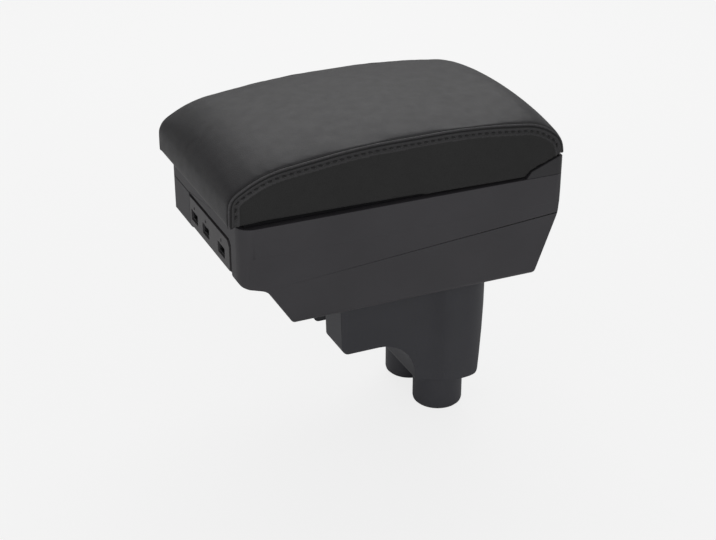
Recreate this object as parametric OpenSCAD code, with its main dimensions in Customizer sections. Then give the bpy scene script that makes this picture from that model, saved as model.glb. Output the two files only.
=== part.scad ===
// Car centre armrest: a storage bin with a hinged padded lid and three charging ports in its
// front face, on a moulded base whose two legs plug into a pair of cup holders.
// X runs from the front (-) to the rear (+), Y across the car, Z up. The legs stand on z = 0.

/* [Bin] */
// Length of the bin at its rim
box_len = 310; // [280:1:340]
// Width of the bin at its rim
box_w = 192; // [170:1:220]
// Depth of the bin below its rim
box_deep = 98; // [88:1:120]
// Depth of the shallow front step below the rim
step_deep = 53.5; // [50:0.5:60]
// Distance from the front face to where the underside drops
step_len = 24; // [22:1:40]
// Length along X of the sloped drop behind the step
step_run = 23.5; // [18:0.5:40]
// How far the underside of the step falls before the drop
step_fall = 7.5; // [4:0.5:10]
// Wall thickness of the bin
wall = 3; // [2.4:0.1:3.6]
// Radius of the front vertical corners
front_corner_r = 14; // [10:1:20]
// Radius of the rear vertical corners
rear_corner_r = 9; // [6:1:14]
// How far the foot of the rear wall leans in
rear_lean = 25; // [15:1:32]
// Height below the rim of the crease along each side
crease_drop = 27; // [20:1:35]
// Width of the flat ring round the mouth
rim_w = 9; // [8:0.5:11]
// Thickness of the ring round the mouth
rim_t = 4; // [3:0.5:6]

/* [Hinge bracket] */
// Length of the wedge along X
wedge_len = 39.5; // [37:0.5:48]
// Height of the wedge at the rear
wedge_h = 20; // [18:0.5:24]
// Height of the steep toe at the front of the wedge
wedge_toe = 6.7; // [5:0.1:8]
// Wall thickness of the bracket
wedge_wall = 2.5; // [2:0.1:3]
// Radius of the hinge barrel
barrel_r = 5; // [4.5:0.1:5.4]
// Radius of the hinge pins
pin_r = 1.6; // [1.4:0.05:2]
// Radial running clearance of the hinge pins
pin_gap = 0.05; // [0.03:0.01:0.08]
// Width of each lid knuckle along Y
knuckle_w = 40; // [30:1:46]
// Distance from the middle of the lid to each knuckle
knuckle_y = 30; // [28:1:34]

/* [Lid] */
// How far the lid's nose overhangs the front face
nose = 10; // [8:0.5:14]
// Height of the side seam above the rim at the middle of the lid
seam_h = 64; // [58:0.5:70]
// Extra height of the padding in the middle of the width
crown = 7; // [5:0.5:12]
// Open gap between the rim and the leather
lid_gap = 3.5; // [3:0.1:5]
// The same gap where it meets the hinge bracket
lid_gap_rear = 1.6; // [1:0.1:3]
// Thickness of the leather with its backing
leather_t = 2.5; // [2:0.1:3]
// Inset of the plastic under-tray from the sides
tray_inset = 6; // [5:0.1:6.5]
// Thickness of the board inside the pad
board_t = 3; // [2.5:0.1:4]

/* [Charging panel] */
// Length of the panel across the front face
panel_len = 106; // [100:1:112]
// Height of the panel
panel_h = 28; // [26:0.5:29]
// Thickness of the panel
panel_t = 4; // [3:0.1:4]
// Distance of the panel's top edge below the rim
panel_drop = 21.5; // [20:0.5:23]
// Middle of the panel across the bin
panel_y = -13; // [-20:1:0]
// Width of the shadow gap above the panel
panel_gap = 3.4; // [2.4:0.1:4]
// Width of the gap at the panel's right end
panel_end_gap = 5; // [4:0.5:7]
// Width of the joint at the panel's left end
panel_joint = 0.4; // [0.3:0.05:0.8]
// Rebate of the panel's windows round each port
port_rebate = 1.6; // [1:0.1:2]
// Centre of each port along Y
port_y = [-45, -4, 27];
// Height of the ports above the panel's lower edge
port_z = 11.5; // [11:0.5:13]
// Height of the lamps above the ports
lamp_up = 9; // [8:0.5:10]

/* [Base] */
// Height of the base from leg foot to plate top
base_h = 151; // [141:1:171]
// Length of the base
base_len = 152; // [146:1:160]
// Width of the front of the base
base_front_w = 94; // [90:1:100]
// Width of the rear lobes of the base
base_rear_w = 124; // [120:1:134]
// Distance from the bin's front face to the front of the base
base_x = 112; // [100:1:125]
// Height of the front section under the plate top
front_drop = 71; // [66:1:76]
// Height of the rear column under the plate top
column_drop = 116; // [110:1:120]
// Thickness of the base's top plate
plate_t = 6; // [5:0.5:7]
// Radius of the arch between the front section and the column
arch_r = 38; // [32:1:38]
// Distance from the front of the base to the column
column_x = 76; // [72:1:80]
// Width of the notch for the handbrake
notch_w = 29; // [24:1:32]
// Height of the notch above the front section's underside
notch_h = 40; // [30:1:42]
// Sideways offset of the notch
notch_y = 9; // [0:1:10]
// Radius of the two legs
leg_r = 24; // [22:0.5:26]
// Distance between the legs
leg_pitch = 63; // [58:1:66]
// Distance from the front of the base to the legs
leg_x = 108; // [104:1:110]

/* [Rails and latch] */
// Distance between the two rails
rail_pitch = 40; // [38:1:44]
// Width of the slots in the plate
slot_w = 6.2; // [5.6:0.1:7]
// Distance from the front of the base to the slots
slot_start = 14; // [12:1:18]
// Running clearance of the rails and the bin on the base
run_gap = 0.4; // [0.3:0.05:0.5]
// Width of the T head of a rail
rail_head_w = 12; // [10:0.5:13]
// Thickness of the T head of a rail
rail_head_t = 3; // [2.5:0.1:3.5]
// Length of the latch window along X
window_len = 25; // [22:1:28]
// Width of the latch window
window_w = 22; // [20:0.5:23]
// Length of the latch button along X
button_len = 16; // [14:0.5:17]
// Travel of the latch button
button_travel = 3; // [2:0.5:3.5]

/* [Hidden] */
$fn = 48;
over = 1;

// Colours as the photograph shows them
plastic_col = [0.24, 0.235, 0.245];
base_col = [0.25, 0.25, 0.28];
leather_col = [0.2, 0.2, 0.215];
side_col = [0.17, 0.17, 0.17];
steel_col = [0.75, 0.75, 0.76];
board_col = [0.1, 0.35, 0.2];

// The bin's frame: x from the front face, z from the rim
seat_gap = 0.3;
rim_z = base_h + seat_gap + box_deep;
mid_x = (box_len - nose) / 2;

module bin_place() translate([-mid_x, 0, rim_z]) children();
module base_place() translate([base_x - mid_x, 0, 0]) children();

// Outlines: a list of [x, y, radius] corners, anticlockwise
arc_step = 9;
small_arc_step = 18;
small_radius = 6;
function unit(v) = v / norm(v);
function turn(p, q, s) = (q.x - p.x) * (s.y - q.y) - (q.y - p.y) * (s.x - q.x);
function xy(p) = [p.x, p.y];
function around(pts, i) = pts[(i + len(pts)) % len(pts)];

// Points of one rounded corner q between p and s
function corner(p, q, s) =
    let (u = unit(xy(p) - xy(q)), v = unit(xy(s) - xy(q)), half = acos(u * v) / 2)
    q[2] == 0 || half > 89.9 ? [xy(q)] :
    let (
        cut = q[2] / tan(half),
        centre = xy(q) + unit(u + v) * q[2] / sin(half),
        from = xy(q) + u * cut - centre,
        sweep = (turn(p, q, s) > 0 ? 1 : -1) * (180 - 2 * half),
        count = max(1, ceil(abs(sweep) / (q[2] < small_radius ? small_arc_step : arc_step)))
    )
    [for (k = [0 : count])
        let (a = sweep * k / count)
        centre + [from.x * cos(a) - from.y * sin(a), from.x * sin(a) + from.y * cos(a)]];

function outline(pts) =
    [for (i = [0 : len(pts) - 1]) each corner(around(pts, i - 1), pts[i], around(pts, i + 1))];

// The same outline moved inwards by d, or outwards where d is negative
function inset_corner(p, q, s, d) =
    let (
        a = unit(xy(q) - xy(p)), b = unit(xy(s) - xy(q)),
        na = [-a.y, a.x], nb = [-b.y, b.x],
        shift = (na + nb) * d / (1 + na * nb),
        r = turn(p, q, s) > 0 ? max(q[2] - d, 0) : q[2] + d
    )
    [q.x + shift.x, q.y + shift.y, q[2] == 0 ? 0 : r];
function inset(pts, d) =
    [for (i = [0 : len(pts) - 1]) inset_corner(around(pts, i - 1), pts[i], around(pts, i + 1), d)];

// Prisms along Y and along X from an outline
module along_y(half_w) rotate([90, 0, 0]) translate([0, 0, -half_w]) linear_extrude(2 * half_w) children();
module along_x(from, to) translate([from, 0, 0]) rotate([90, 0, 90]) linear_extrude(to - from) children();
module block(from, to) translate(from) cube(to - from);

// Bin outlines
drop_z = step_deep + step_fall;
rear_bend = 36;
rear_bend_lean = 3.5;
bin_side = [
    [0, -step_deep, 6], [step_len, -drop_z, 16], [step_len + step_run, -box_deep, 9],
    [box_len - rear_lean, -box_deep, 4], [box_len - rear_bend_lean, -rear_bend, 60],
    [box_len, 0, 0], [0, 0, 0]
];
bin_plan = [
    [0, -box_w / 2, front_corner_r], [box_len, -box_w / 2, rear_corner_r],
    [box_len, box_w / 2, rear_corner_r], [0, box_w / 2, front_corner_r]
];
crease_step = 0.6;
foot_in = 3;
bin_section = [
    [-box_w / 2 + foot_in, -box_deep, 5], [box_w / 2 - foot_in, -box_deep, 5],
    [box_w / 2 - crease_step, -crease_drop - crease_step, 0], [box_w / 2, -crease_drop, 0],
    [box_w / 2, 0, 0], [-box_w / 2, 0, 0],
    [-box_w / 2, -crease_drop, 0], [-box_w / 2 + crease_step, -crease_drop - crease_step, 0]
];

// Solid with the bin's three outlines moved inwards by d, from the floor to height top
module bin_shape(d, top) {
    intersection() {
        translate([0, 0, -box_deep - over]) linear_extrude(box_deep + over + top)
            polygon(outline(inset(bin_plan, d)));
        along_y(box_w) polygon(outline([for (p = inset(bin_side, d))
            [p.x, p.y > -d - 0.01 ? top : p.y, p[2]]]));
        along_x(-over, box_len + over) polygon(outline([for (p = inset(bin_section, d))
            [p.x, p.y > -d - 0.01 ? top : p.y, p[2]]]));
    }
}

// Charging panel, seen from the front: y across, z up
panel_top = -panel_drop;
panel_low = panel_top - panel_h;
panel_cut = 4.5;
panel_from = panel_y - panel_len / 2;
panel_to = panel_y + panel_len / 2;
panel_face = [
    [panel_from, panel_low, 0], [panel_to, panel_low, 0], [panel_to, panel_top, 0],
    [panel_from + panel_cut, panel_top, 1.5], [panel_from, panel_top - panel_cut, 1.5]
];
pad_x = panel_t + wall;
pad_margin = 12;
line_w = 0.8;
line_deep = 0.6;
port_mid = panel_low + port_z;
lamp_mid = port_mid + lamp_up;
shell_w = 14.4;
shell_h = 7;
shell_wall = 0.6;
shell_len = 14;
shell_set = 1.2;
port_gap = 0.2;
lamp_r = 1.3;

// Charging electronics behind the panel
pcb_x = shell_set + shell_len;
pcb_t = 1.6;
cover_wall = 2;
cover_x = pcb_x + pcb_t + 3;
cover_ear = 9;
cover_z = [panel_low + 1, panel_top - 1];
cover_y = [panel_from + 2, panel_to - 2];
ear_hole_y = [cover_y[0] - cover_ear / 2, cover_y[1] + cover_ear / 2];
ear_hole_z = (cover_z[0] + cover_z[1]) / 2;
ear_bite = 2.4;

module port_window(grow, from, to)
    for (y = port_y) block([from, y - shell_w / 2 - grow, port_mid - shell_h / 2 - grow],
        [to, y + shell_w / 2 + grow, port_mid + shell_h / 2 + grow]);
module lamp_holes(r, from, to)
    for (y = port_y) translate([from, y, lamp_mid]) rotate([0, 90, 0]) cylinder(r = r, h = to - from);

// Bin
ledge_x = box_len - wedge_len - 2;
screw_r = 1.5;
screw_gap = 0.05;
pan_r = 3;
pan_t = 2;
ledge_screws = [for (y = [-78, -21, 21, 78]) [box_len - 25, y]];
rail_bite = 6.5;
ledge_bite = 5.5;
rail_screw_x = [base_x + slot_start + 15, base_x + base_len / 2, base_x + base_len - 18];

module box_body() color(plastic_col) bin_place() difference() {
    union() {
        difference() {
            bin_shape(0, 0);
            // Inside of the bin, open at the mouth
            difference() {
                bin_shape(wall, over);
                // Ring round the mouth
                block([-over, -box_w, -rim_t], [box_len + over, box_w, 2 * over]);
            }
            block([rim_w, -box_w / 2 + rim_w, -rim_t - over], [ledge_x, box_w / 2 - rim_w, over]);
        }
        // Thick pad in the front wall that holds the charging panel
        intersection() {
            bin_shape(0, 0);
            block([0, panel_from - panel_end_gap - pad_margin, -box_deep],
                [pad_x, panel_to + panel_gap + pad_margin, panel_top + panel_gap + 6]);
        }
    }
    // Pocket for the charging panel, open below it
    along_x(-over, panel_t) polygon(outline([
        [panel_from - panel_end_gap, -box_deep - over, 0], [panel_to + panel_joint, -box_deep - over, 0],
        [panel_to + panel_joint, panel_top + panel_gap, 1],
        [panel_from - panel_end_gap + panel_cut, panel_top + panel_gap, 2],
        [panel_from - panel_end_gap, panel_top + panel_gap - panel_cut, 2]
    ]));
    // Parting line that runs on from the gap to the left corner
    block([-over, panel_to, panel_top + panel_gap - line_w], [line_deep, box_w / 2, panel_top + panel_gap]);
    port_window(port_gap, 0, pad_x + over);
    lamp_holes(lamp_r + screw_gap, 0, pad_x + over);
    for (y = ear_hole_y) translate([pad_x - ear_bite - 0.3, y, ear_hole_z]) rotate([0, 90, 0])
        cylinder(r = screw_r + screw_gap, h = ear_bite + 0.3 + over);
    for (p = ledge_screws) translate([p.x, p.y, -rim_t - over]) cylinder(r = screw_r + screw_gap, h = rim_t + 2 * over);
    for (x = rail_screw_x, side = [-1, 1]) translate([x, side * rail_pitch / 2, -box_deep - over])
        cylinder(r = screw_r + screw_gap, h = wall + 2 * over);
}

// Rails: T section, neck in the plate's slot and head below the plate
neck_w = slot_w - 2 * run_gap;
plate_low = base_h - plate_t;
rail_front = base_x + slot_start + 1;
rail_rear = base_x + base_len - 3;
bin_floor = -box_deep;
plate_low_in_bin = plate_low - rim_z;

module rail(side) color(plastic_col) bin_place() difference() {
    translate([0, side * rail_pitch / 2, 0]) union() {
        block([rail_front, -neck_w / 2, plate_low_in_bin - run_gap - rail_head_t], [rail_rear, neck_w / 2, bin_floor]);
        block([rail_front, -rail_head_w / 2, plate_low_in_bin - run_gap - rail_head_t],
            [rail_rear, rail_head_w / 2, plate_low_in_bin - run_gap]);
    }
    for (x = rail_screw_x) translate([x, side * rail_pitch / 2, bin_floor - rail_bite - 0.5])
        cylinder(r = screw_r + screw_gap, h = rail_bite + 0.5 + over);
}
module rail_left() rail(1);
module rail_right() rail(-1);

module pan_screw(reach) {
    translate([0, 0, -reach]) cylinder(r = screw_r, h = reach);
    cylinder(r1 = pan_r, r2 = pan_r - 1, h = pan_t);
}
module rail_screws() color(steel_col) bin_place()
    for (x = rail_screw_x, side = [-1, 1]) translate([x, side * rail_pitch / 2, bin_floor + wall]) pan_screw(wall + rail_bite);

// Hinge bracket: a hollow wedge across the rear of the rim
wedge_x = box_len - wedge_len;
toe_run = 5.5;
deck_slope = (wedge_h - wedge_toe) / (wedge_len - toe_run);
deck_angle = atan(deck_slope);
function deck_z(x) = wedge_toe + (x - wedge_x - toe_run) * deck_slope;
pivot = [box_len - barrel_r, deck_z(box_len - barrel_r) - barrel_r / cos(deck_angle)];
wedge_side = [
    [wedge_x, 0, 0], [box_len, 0, 0], [box_len, wedge_h, barrel_r],
    [wedge_x + toe_run, wedge_toe, 1.5]
];
side_gap = 0.4;
slot_clear = 0.6;
slot_floor = 6;
inner_knuckle = 14;
pin_len = knuckle_w + 30;

module pivot_rod(r, from, to) translate([pivot.x, from, pivot.y]) rotate([-90, 0, 0]) cylinder(r = r, h = to - from);
// The bracket's rear corner is cut away from this height over a stretch of the width
module barrel_slot(from, to) {
    pivot_rod(barrel_r + slot_clear, from, to);
    block([pivot.x - barrel_r - slot_clear, from, pivot.y], [box_len + over, to, wedge_h + over]);
    block([pivot.x, from, slot_floor], [box_len + over, to, wedge_h + over]);
}
hollow_rear = pivot.x - barrel_r - slot_clear - wedge_wall;

module hinge_frame() color(plastic_col) bin_place() difference() {
    intersection() {
        along_y(box_w / 2) polygon(outline(wedge_side));
        translate([0, 0, -over]) linear_extrude(wedge_h + 2 * over) polygon(outline(bin_plan));
    }
    // Hollow from below, with a boss left round each screw
    difference() {
        along_y(box_w / 2 - 8) polygon(outline(inset([
            [wedge_x, -wedge_wall - over, 0], [hollow_rear + wedge_wall, -wedge_wall - over, 0],
            [hollow_rear + wedge_wall, deck_z(hollow_rear + wedge_wall), 0],
            [wedge_x + toe_run, wedge_toe, 1.5]], wedge_wall)));
        for (p = ledge_screws) translate([p.x, p.y, -over]) cylinder(r = 4, h = wedge_h);
    }
    for (p = ledge_screws) translate([p.x, p.y, -over]) cylinder(r = screw_r + screw_gap, h = over + ledge_bite + 0.5);
    // Slots for the lid's knuckles, and the open middle where the pins go in
    for (side = [-1, 1]) {
        y = side * (knuckle_y + knuckle_w / 2);
        barrel_slot(y - knuckle_w / 2 - side_gap, y + knuckle_w / 2 + side_gap);
    }
    barrel_slot(-inner_knuckle, inner_knuckle);
    for (side = [-1, 1]) pivot_rod(pin_r + pin_gap, min(side * inner_knuckle, side * (inner_knuckle + pin_len + 1)),
        max(side * inner_knuckle, side * (inner_knuckle + pin_len + 1)));
}
module hinge_screws() color(steel_col) bin_place()
    for (p = ledge_screws) translate([p.x, p.y, -rim_t]) rotate([180, 0, 0]) pan_screw(rim_t + ledge_bite);
module hinge_pin(side) color(steel_col) bin_place()
    pivot_rod(pin_r, min(side * (inner_knuckle + 0.5), side * (inner_knuckle + pin_len)),
        max(side * (inner_knuckle + 0.5), side * (inner_knuckle + pin_len)));
module hinge_pin_left() hinge_pin(1);
module hinge_pin_right() hinge_pin(-1);

// Charging panel and ports
panel_run = 0.2;
module usb_panel() color(plastic_col) bin_place() difference() {
    intersection() {
        along_x(0, panel_t - panel_run) polygon(outline(panel_face));
        bin_shape(0, 0);
    }
    port_window(port_rebate, -over, panel_t + over);
    lamp_holes(lamp_r + screw_gap, -over, panel_t + over);
}
module usb_shell(k) color(steel_col) bin_place() translate([shell_set, port_y[k - 1], port_mid]) difference() {
    block([0, -shell_w / 2, -shell_h / 2], [shell_len, shell_w / 2, shell_h / 2]);
    block([-over, -shell_w / 2 + shell_wall, -shell_h / 2 + shell_wall],
        [shell_len - shell_wall, shell_w / 2 - shell_wall, shell_h / 2 - shell_wall]);
}
module usb_shell_1() usb_shell(1);
module usb_shell_2() usb_shell(2);
module usb_shell_3() usb_shell(3);

tongue_w = 11.6;
tongue_t = 1.9;
tongue_up = 0.9;
module usb_tongue(k) color([0.12, 0.12, 0.13]) bin_place() translate([shell_set, port_y[k - 1], port_mid]) {
    block([2, -tongue_w / 2, tongue_up], [shell_len - shell_wall - 2, tongue_w / 2, tongue_up + tongue_t]);
    block([shell_len - shell_wall - 2, -shell_w / 2 + shell_wall, -shell_h / 2 + shell_wall],
        [shell_len - shell_wall, shell_w / 2 - shell_wall, shell_h / 2 - shell_wall]);
}
module usb_tongue_1() usb_tongue(1);
module usb_tongue_2() usb_tongue(2);
module usb_tongue_3() usb_tongue(3);

module usb_lamp(k) color([0.85, 0.87, 0.9]) bin_place() translate([shell_set, port_y[k - 1], lamp_mid])
    rotate([0, 90, 0]) cylinder(r = lamp_r, h = shell_len);
module usb_lamp_1() usb_lamp(1);
module usb_lamp_2() usb_lamp(2);
module usb_lamp_3() usb_lamp(3);

module usb_board() color(board_col) bin_place()
    block([pcb_x, cover_y[0] + cover_wall + 0.5, cover_z[0] + 0.5],
        [pcb_x + pcb_t, cover_y[1] - cover_wall - 0.5, cover_z[1] - cover_wall - 0.5]);

module usb_cover() color(plastic_col) bin_place() difference() {
    union() {
        block([pad_x, cover_y[0], cover_z[0]], [cover_x + cover_wall, cover_y[1], cover_z[1]]);
        block([pad_x, cover_y[0] - cover_ear, cover_z[0] + 5], [pad_x + cover_wall, cover_y[1] + cover_ear, cover_z[1] - 5]);
    }
    block([pad_x - over, cover_y[0] + cover_wall, cover_z[0] - over], [cover_x, cover_y[1] - cover_wall, cover_z[1] - cover_wall]);
    for (y = ear_hole_y) translate([pad_x - over, y, ear_hole_z]) rotate([0, 90, 0])
        cylinder(r = screw_r + screw_gap, h = cover_wall + 2 * over);
}
module usb_cover_screws() color(steel_col) bin_place()
    for (y = ear_hole_y) translate([pad_x + cover_wall, y, ear_hole_z]) rotate([0, 90, 0]) pan_screw(cover_wall + ear_bite);

// Lid: the side seam line, rear bottom to nose bottom
seam_top = [
    [box_len, wedge_h + 1, 4], [box_len - 5.5, seam_h - 26, 22], [box_len - 27, seam_h - 10, 60],
    [box_len * 0.69, seam_h, 450], [box_len * 0.36, seam_h - 0.5, 450], [22, seam_h - 13, 100],
    [-nose + 1, seam_h - 31, 14], [-nose, lid_gap, 5]
];
lid_half = box_w / 2 - 0.5;
tray_half = box_w / 2 - tray_inset;
leather_gap = 1;
// Plastic under-tray: a bent strip that follows the rim and the bracket
tray_t = lid_gap - seat_gap;
tray_front = tray_inset;
tray_rear = box_len - 7;
deck_gap = 0.6;
tray_low = [
    [tray_front, seat_gap], [wedge_x - 3, seat_gap],
    [wedge_x + toe_run - 3, wedge_toe + deck_gap + 0.6], [tray_rear, deck_z(tray_rear) + deck_gap + 0.2]
];
tray_side = [
    [tray_low[0].x, tray_low[0].y, 0], [tray_low[1].x, tray_low[1].y, 0],
    [tray_low[2].x, tray_low[2].y, 0], [tray_low[3].x, tray_low[3].y, 0],
    [tray_low[3].x, tray_low[3].y + tray_t, 0], [tray_low[2].x - 1, tray_low[2].y + tray_t, 0],
    [tray_low[1].x - 2, lid_gap, 0], [tray_low[0].x, lid_gap, 0]
];
rib_t = 2;
rib_deep = 3;
rib_gap = 1.5;
rib_out = [[rim_w + rib_gap, -box_w / 2 + rim_w + rib_gap], [ledge_x - 6, box_w / 2 - rim_w - rib_gap]];
screw_edge = 24;
lid_screw_x = [tray_front + screw_edge, (tray_front + wedge_x - 12) / 2, wedge_x - 12 - screw_edge];
lid_screw_at = [for (x = lid_screw_x, side = [-1, 1]) [x, side * (tray_half - screw_edge)]];
head_r = pan_r - 0.25;
arm_w = 9;

module lid_base() color(plastic_col) bin_place() difference() {
    union() {
        along_y(tray_half) polygon(outline(tray_side));
        // Rib that drops into the mouth of the bin
        difference() {
            block([rib_out[0].x, rib_out[0].y, -rib_deep], [rib_out[1].x, rib_out[1].y, seat_gap + 0.5]);
            block([rib_out[0].x + rib_t, rib_out[0].y + rib_t, -rib_deep - over],
                [rib_out[1].x - rib_t, rib_out[1].y - rib_t, seat_gap + over]);
        }
        // Knuckles on the hinge pins
        for (side = [-1, 1]) {
            y = side * (knuckle_y + knuckle_w / 2);
            pivot_rod(barrel_r, y - knuckle_w / 2, y + knuckle_w / 2);
            block([pivot.x - barrel_r, y - knuckle_w / 2, pivot.y], [pivot.x - barrel_r + arm_w, y + knuckle_w / 2, deck_z(pivot.x) + 2]);
        }
    }
    for (side = [-1, 1]) {
        y = side * (knuckle_y + knuckle_w / 2);
        pivot_rod(pin_r + pin_gap, y - knuckle_w / 2 - over, y + knuckle_w / 2 + over);
    }
    for (p = lid_screw_at) translate([p.x, p.y, seat_gap - over]) cylinder(r = screw_r + screw_gap, h = tray_t + 2 * over);
    for (p = lid_screw_at) translate([p.x, p.y, seat_gap]) cylinder(r1 = pan_r, r2 = screw_r, h = pan_r - screw_r);
}

board_from = [tray_front + 3, -tray_half + 3, lid_gap];
board_to = [wedge_x - 12, tray_half - 3, lid_gap + board_t];
module lid_board() color([0.5, 0.4, 0.28]) bin_place() difference() {
    block(board_from, board_to);
    for (p = lid_screw_at) translate([p.x, p.y, lid_gap - over]) cylinder(r = screw_r + screw_gap, h = board_t + 2 * over);
}
module lid_screws() color(steel_col) bin_place() for (p = lid_screw_at) translate([p.x, p.y, seat_gap + 0.1]) {
    cylinder(r1 = head_r, r2 = screw_r, h = head_r - screw_r);
    cylinder(r = screw_r, h = tray_t + board_t - 0.2);
}

// Padded top: the seam line swept across the width, crowned in the middle
function path_dir(pts, i) = unit(pts[min(i + 1, len(pts) - 1)] - pts[max(i - 1, 0)]);
function path_in(pts, i) = let (d = path_dir(pts, i)) [-d.y, d.x];
pad_line = [for (p = outline(concat(seam_top, [[box_len / 2, lid_gap, 0]]))) if (p.y > lid_gap + 0.01 || p.x < box_len / 2 - 1) p];
cover_cols = 14;
col_y = [for (j = [0 : cover_cols]) -cos(180 * j / cover_cols)];
function bulge(i, t) = crown * pow(max(-path_in(pad_line, i).y, 0), 2) * (0.5 * (1 - pow(t, 2)) + 0.5 * (1 - pow(t, 6)));
// The line moved inwards by d, at the fraction t of the half width
function pad_at(d, t) = [for (i = [0 : len(pad_line) - 1])
    let (p = pad_line[i] + path_in(pad_line, i) * d) [p.x, p.y + bulge(i, t)]];

// Solid through the same closed ring of points at each station across the width. Each end is
// closed by fans of triangles, one for each list of ring places in fans.
module sweep_across(rings, ys, fans) {
    n = len(rings[0]);
    m = len(ys) - 1;
    polyhedron(
        points = [for (j = [0 : m], p = rings[j]) [p.x, ys[j], p.y]],
        faces = concat(
            [for (j = [0 : m - 1], i = [0 : n - 1]) let (a = j * n + i, b = j * n + (i + 1) % n)
                each [[a, b, b + n], [a, b + n, a + n]]],
            [for (q = fans, k = [1 : len(q) - 2]) each [
                [q[0], q[k + 1], q[k]], [m * n + q[0], m * n + q[k], m * n + q[k + 1]]
            ]]
        ), convexity = 6);
}
function back_to_front(pts) = [for (i = [len(pts) - 1 : -1 : 0]) pts[i]];

foam_gap = 0.1;
foam_under = [
    [board_from.x - 0.5, lid_gap + foam_gap], [board_from.x - 0.5, lid_gap + board_t + foam_gap],
    [board_to.x + 0.5, lid_gap + board_t + foam_gap], [board_to.x + 0.5, lid_gap + foam_gap],
    [tray_low[1].x - 2.2, lid_gap + foam_gap], [tray_low[2].x - 1.2, tray_low[2].y + tray_t + foam_gap],
    [tray_low[3].x, tray_low[3].y + tray_t + foam_gap]
];
// Ends of the foam in three fans: in front of the board's recess, over it and behind it
foot = len(pad_line) - 1;
front_i = len([for (p = pad_line) if (p.x > board_from.x) p]) - 1;
rear_i = len([for (p = pad_line) if (p.x > board_to.x + 2) p]) - 1;
foam_fans = [
    concat([foot + 2], [for (i = [front_i : foot + 1]) i]),
    concat([foot + 2, foot + 3], [for (i = [rear_i : front_i]) i]),
    concat([rear_i], [for (i = [foot + 3 : foot + 7]) i], [for (i = [0 : rear_i - 1]) i])
];
module lid_foam() color([0.75, 0.72, 0.62]) bin_place() sweep_across(
    [for (t = col_y) concat([for (p = pad_at(leather_t + foam_gap, t)) [p.x, max(p.y, lid_gap + foam_gap)]], foam_under)],
    [for (t = col_y) t * (lid_half - leather_t - foam_gap)], foam_fans);
module lid_top_cover() color(leather_col) bin_place() sweep_across(
    [for (t = col_y) concat(pad_at(0, t), back_to_front(pad_at(leather_t, t)))],
    [for (t = col_y) t * lid_half],
    [for (i = [0 : foot - 1]) [i, i + 1, 2 * foot - i, 2 * foot + 1 - i]]);

seam_gap = 0.2;
panel_heel = pad_line[0].x - 2;
panel_ring = concat(pad_at(leather_t + seam_gap, 1), [
    [wedge_x + lid_gap_rear * toe_run / wedge_toe - 1.5 * leather_gap, lid_gap_rear],
    [wedge_x + toe_run - 0.7 * leather_gap, wedge_toe + leather_gap],
    [panel_heel, deck_z(panel_heel) + 1.2 * leather_gap]
]);
module lid_panel(side) color(side_col) bin_place()
    translate([0, side * (lid_half - leather_t / 2), 0]) along_y(leather_t / 2) polygon(panel_ring);
module lid_side_left() lid_panel(1);
module lid_side_right() lid_panel(-1);

// Base: front section with the notch, arch, column and legs
column_z = base_h - column_drop;
front_z = base_h - front_drop;
lobe_x = 104;
base_plan = [
    [0, -base_front_w / 2, 7], [86, -base_front_w / 2, 34], [lobe_x, -base_rear_w / 2, 20], [base_len, -base_rear_w / 2 + 2, 30],
    [base_len, base_rear_w / 2 - 2, 30], [lobe_x, base_rear_w / 2, 20], [86, base_front_w / 2, 34], [0, base_front_w / 2, 7]
];
base_side = [
    [1.5, front_z, 5], [column_x, front_z, arch_r], [column_x, column_z, 5],
    [base_len - 14, column_z, 5], [base_len, plate_low, 0], [0, plate_low, 0]
];
notch_end = column_x - arch_r + 6;
notch_r = notch_w / 2;
screw_at = [[8, -base_front_w / 2 + 9.5], [8, base_front_w / 2 - 9.5], [131, -base_rear_w / 2 + 14], [131, base_rear_w / 2 - 14]];
boss_r = 4;
boss_deep = 18;
leg_wall = 3;
leg_edge = 4;
leg_at = [for (side = [-1, 1]) [leg_x, side * leg_pitch / 2]];

module base_shape(d) intersection() {
    linear_extrude(base_h) polygon(outline(inset(base_plan, d)));
    along_y(base_rear_w) polygon(outline([for (p = inset(base_side, d)) [p.x, p.y > plate_low - d - 0.01 ? plate_low + (d > 0 ? over : 0) : p.y, p[2]]]));
}
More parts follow.
